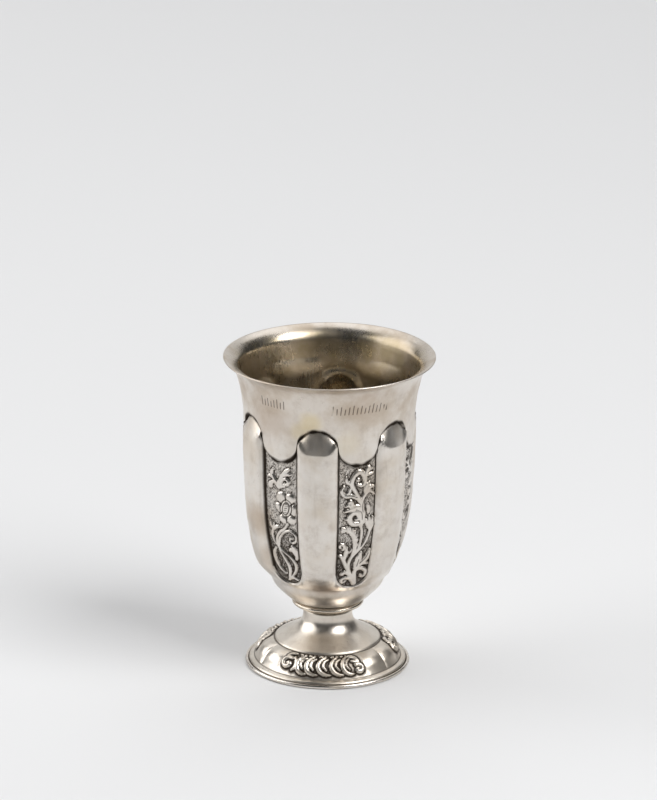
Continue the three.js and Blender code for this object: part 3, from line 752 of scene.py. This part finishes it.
def collar():
    cove = arc((12.7, 21.3), 3.3, 1.7, 170, 100, 6)
    bead = arc((12.2, 24.1), 1.15, 0.95, -80, 85, 9)
    band = [(12.3, 25.15), (12.3, 25.55)]
    section = [(7.65, 21.25), (8.6, 21.25), *cove, *bead, *band, (7.65, 25.55)]
    # The band tucked under the bowl's seat and the underside of the bead are painted dark as shade.
    shades = [0.2, 0.5, *[0.1] * 5, 0.5, *[0.5, 0.1, 0, 0, 0, 0, 0, 0.1, 0.5], 0.9, 1.0, 0.3]
    return ring("collar_ring", section, shades)


def base_wire():
    rim = arc((30.0, 0.78), 0.6, 0.72, -70, 150, 12)
    section = [(28.05, 0.0), (29.2, 0.0), *rim, (29.3, 1.2), (28.05, 1.2)]
    shades = [0.4, 0.1, *[0] * 10, 0.3, 0.8, 0.9, 0.5]
    return ring("base_wire_ring", section, shades, columns=240)


# ---------------------------------------------------------------- surfaces
class Term:
    """A shader value that takes part in ordinary arithmetic."""

    def __init__(self, tree, socket):
        self.tree = tree
        self.socket = socket

    def node(self, kind, settings=None, output=0, **sockets):
        return make(self.tree, kind, settings, output, **sockets)

    def math(self, operation, first, second=0.0):
        return make(self.tree, "ShaderNodeMath", {"operation": operation}, 0, i0=first, i1=second)

    def __add__(self, other):
        return self.math("ADD", self, other)

    __radd__ = __add__

    def __mul__(self, other):
        return self.math("MULTIPLY", self, other)

    __rmul__ = __mul__

    def __sub__(self, other):
        return self.math("SUBTRACT", self, other)

    def __rsub__(self, other):
        return self.math("SUBTRACT", other, self)

    def __truediv__(self, other):
        return self.math("DIVIDE", self, other)

    def __rtruediv__(self, other):
        return self.math("DIVIDE", other, self)

    def __pow__(self, other):
        return self.math("POWER", self, other)

    def smooth(self, low, high):
        """0 below low, 1 above high, smooth between."""
        return self.node("ShaderNodeMapRange", {"interpolation_type": "SMOOTHSTEP", "clamp": True},
                         i0=self, i1=low, i2=high, i3=0.0, i4=1.0)

    def tint(self, low, high):
        """A colour that goes from low to high with this value."""
        return self.node("ShaderNodeMix", {"data_type": "RGBA"}, 2, Factor=self, i6=low, i7=high)


def make(tree, kind, settings=None, output=0, **sockets):
    """Any node: its kind and settings first, then its sockets by name, or by place as i0, i1 and so on."""
    node = tree.nodes.new(kind)
    for setting, value in (settings or {}).items():
        setattr(node, setting, value)
    for key, value in sockets.items():
        place = int(key[1:]) if key[0] == "i" and key[1:].isdigit() else key.replace("_", " ")
        socket = node.inputs[place]
        if isinstance(value, Term):
            tree.links.new(value.socket, socket)
        else:
            socket.default_value = value
    return Term(tree, node.outputs[output])


def colour(red, green, blue):
    return (red, green, blue, 1.0)


class Surface:
    """A material with one principled shader, and the values that surfaces here are worked from."""

    def __init__(self, name):
        self.material = bpy.data.materials.new(name)
        self.material.use_nodes = True
        self.tree = self.material.node_tree
        self.tree.nodes.clear()
        self.place = self.node("ShaderNodeTexCoord", output=3)

    def node(self, kind, settings=None, output=0, **sockets):
        return make(self.tree, kind, settings, output, **sockets)

    def noise(self, scale, detail=3.0, rough=0.5, stretch=None):
        place = self.place
        if stretch:
            place = self.node("ShaderNodeVectorMath", {"operation": "MULTIPLY"}, i0=place, i1=stretch)
        return self.node("ShaderNodeTexNoise", Vector=place, Scale=scale, Detail=detail, Roughness=rough)

    def field(self, name):
        return self.node("ShaderNodeAttribute", {"attribute_name": name}, 2)

    def spot(self, azimuth, radius, height, size, raggedness=0.35):
        """1 at a place on the cup, falling to 0 at size from it, with a ragged edge. Millimetres."""
        turn = math.radians(azimuth)
        point = (radius * math.sin(turn) * MM, -radius * math.cos(turn) * MM, height * MM)
        gap = self.node("ShaderNodeVectorMath", {"operation": "DISTANCE"}, 1, i0=self.place, i1=point)
        ragged = (self.noise(260.0, 4.0, 0.6) - 0.5) * raggedness
        return (1.0 - gap / (size * MM) + ragged).smooth(0.0, 0.75)

    def finish(self, base, roughness, bump, metallic=1.0):
        shader = self.tree.nodes.new("ShaderNodeBsdfPrincipled")
        for socket, value in (("Base Color", base), ("Roughness", roughness), ("Metallic", metallic),
                              ("Normal", bump)):
            if isinstance(value, Term):
                self.tree.links.new(value.socket, shader.inputs[socket])
            else:
                shader.inputs[socket].default_value = value
        out = self.tree.nodes.new("ShaderNodeOutputMaterial")
        self.tree.links.new(shader.outputs["BSDF"], out.inputs["Surface"])
        return self.material


SILVER = colour(0.78, 0.735, 0.68)
WARM_SILVER = colour(0.7, 0.62, 0.52)
OLIVE_TARNISH = colour(0.4, 0.33, 0.21)
SMOKE = colour(0.48, 0.41, 0.34)
NECK_BROWN = colour(0.5, 0.41, 0.32)
OXIDE_AND_SHADE = colour(0.055, 0.042, 0.032)


def old_silver(name, bright=SILVER, gloss=0.3, stains=(), inner_gloss=0.26):
    """Worn silver: satin, clouded with warm tarnish, black in its recesses with oxide and painted shade, and
    yellow in its stains.
    """
    s = Surface(name)
    recess = s.field("recess")
    inner = s.field("inside")
    clouds = s.noise(62.0, 5.0, 0.62).smooth(0.4, 0.7)
    smoky = s.noise(150.0, 6.0, 0.7).smooth(0.45, 0.8)
    grain = s.noise(2600.0, 3.0, 0.6)
    rubbed = s.noise(900.0, 4.0, 0.65, stretch=(1.0, 1.0, 0.12))
    base = (clouds * 0.75).tint(bright, WARM_SILVER)
    base = (smoky * 0.6).tint(base, SMOKE)
    # From about 92 mm up the neck is tinted darker and browner, more where the clouds lie.
    height = s.node("ShaderNodeSeparateXYZ", None, 2, Vector=s.place)
    base = (height.smooth(0.092, 0.112) * (0.25 + 0.55 * clouds)).tint(base, NECK_BROWN)
    streaks = s.noise(330.0, 4.0, 0.6, stretch=(1.0, 1.0, 0.15)).smooth(0.5, 0.8)
    base = (streaks * 0.3).tint(base, SMOKE)
    dull = (inner * (0.35 + 0.5 * s.noise(95.0, 5.0, 0.65).smooth(0.3, 0.75))).smooth(0.0, 1.0)
    base = dull.tint(base, OLIVE_TARNISH)
    for shade, strength, azimuth, radius, height, size in stains:
        base = (s.spot(azimuth, radius, height, size) * strength).tint(base, shade)
    # The recess field paints oxide in cut lines and joints, and shade in hollows, creases and under the
    # collar's bead.
    black = (recess + (grain - 0.5) * 0.35 * recess).smooth(0.22, 0.95)
    base = black.tint(base, OXIDE_AND_SHADE)
    roughness = gloss + 0.16 * (rubbed - 0.5) + 0.12 * clouds + 0.3 * black + inner * (inner_gloss - gloss)
    bump = s.node("ShaderNodeBump", None, 0, Strength=0.34, Distance=0.00006,
                  Height=grain * 0.5 + rubbed + 0.8 * s.noise(420.0, 2.0))
    return s.finish(base, roughness, bump)


def paper():
    s = Surface("pale_paper")
    shade = s.noise(3.0, 2.0).tint(colour(0.8, 0.8, 0.805), colour(0.815, 0.815, 0.82))
    fibre = s.node("ShaderNodeBump", None, 0, Strength=0.05, Distance=0.0002, Height=s.noise(900.0, 3.0))
    return s.finish(shade, 0.75, fibre, metallic=0.0)


YELLOW_STAIN = colour(0.72, 0.6, 0.36)
BROWN_STAIN = colour(0.42, 0.31, 0.22)
BOWL_STAINS = (
    (YELLOW_STAIN, 0.6, -12, 32.5, 104.5, 6),
    (YELLOW_STAIN, 0.4, -20, 32.0, 100.5, 5),
    (YELLOW_STAIN, 0.25, 12, 32.0, 96.0, 7),
    (BROWN_STAIN, 0.45, -57, 32.0, 62.0, 9),
    (BROWN_STAIN, 0.3, -50, 28.0, 47.0, 7),
    (BROWN_STAIN, 0.4, -42, 33.0, 104.0, 13),
    (BROWN_STAIN, 0.25, 22, 33.0, 113.0, 12),
    (BROWN_STAIN, 0.35, 4, 33.0, 64.0, 3.5),
    (BROWN_STAIN, 0.6, -6, 22.5, 37.0, 5.5),
    (BROWN_STAIN, 0.5, 6, 22.5, 36.0, 4),
)


def dress(piece, material, node_name):
    piece.data.materials.clear()
    piece.data.materials.append(material)
    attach(piece, "root")
    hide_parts(node_name)


dress(bowl(), old_silver("bowl_silver", gloss=0.3, stains=BOWL_STAINS), "bowl")
dress(foot(), old_silver("foot_silver", bright=colour(0.77, 0.71, 0.63), gloss=0.3), "foot")
dress(collar(), old_silver("collar_silver", bright=WARM_SILVER, gloss=0.22), "collar")
dress(base_wire(), old_silver("wire_silver", gloss=0.22), "base_wire")

# ---------------------------------------------------------------- floor, lights and camera
# The floor ends a little way in front, where the studio is dark.
plane = bmesh.new()
bmesh.ops.create_grid(plane, x_segments=4, y_segments=4, size=2.5)
bmesh.ops.translate(plane, verts=plane.verts, vec=(0, 1.85, 0))
floor_mesh = bpy.data.meshes.new("floor")
plane.to_mesh(floor_mesh)
plane.free()
floor = bpy.data.objects.new("floor", floor_mesh)
bpy.context.collection.objects.link(floor)
floor.data.materials.append(paper())

world = bpy.data.worlds.new("studio")
world.use_nodes = True
world.node_tree.nodes["Background"].inputs["Color"].default_value = colour(0.9, 0.95, 1.0)
world.node_tree.nodes["Background"].inputs["Strength"].default_value = 0.04
bpy.context.scene.world = world


def softbox(name, place, size, power, aim=(0.0, 0.0, 0.06)):
    light = bpy.data.lights.new(name, "AREA")
    light.shape = "RECTANGLE"
    light.size, light.size_y = size
    light.energy = power
    box = bpy.data.objects.new(name, light)
    facing = (Vector(place) - Vector(aim)).to_track_quat("Z", "Y")
    box.matrix_world = Matrix.Translation(place) @ facing.to_matrix().to_4x4()
    bpy.context.collection.objects.link(box)


softbox("ceiling_scrim", (0.0, 1.25, 2.6), (3.6, 2.5), 36)
softbox("backdrop", (0.0, 2.6, 0.9), (4.0, 1.6), 14)
softbox("left_softbox", (-1.55, 0.12, 0.9), (1.9, 1.5), 20)
softbox("right_softbox", (1.0, -0.65, 1.35), (0.95, 1.1), 22)

CAMERA_PLACE = (-0.0003, -1.9725, 0.7806)  # metres
CAMERA_TILT = 71.03  # degrees up from looking straight down
CAMERA_ROLL = 0.42

camera = bpy.data.cameras.new("camera")
camera.lens = 255
camera.sensor_width = 36
camera.clip_end = 50
viewpoint = bpy.data.objects.new("camera", camera)
viewpoint.matrix_world = (Matrix.Translation(CAMERA_PLACE)
                          @ Matrix.Rotation(math.radians(CAMERA_TILT), 4, "X")
                          @ Matrix.Rotation(math.radians(CAMERA_ROLL), 4, "Z"))
bpy.context.collection.objects.link(viewpoint)
bpy.context.scene.camera = viewpoint
bpy.context.scene.view_settings.view_transform = "Standard"
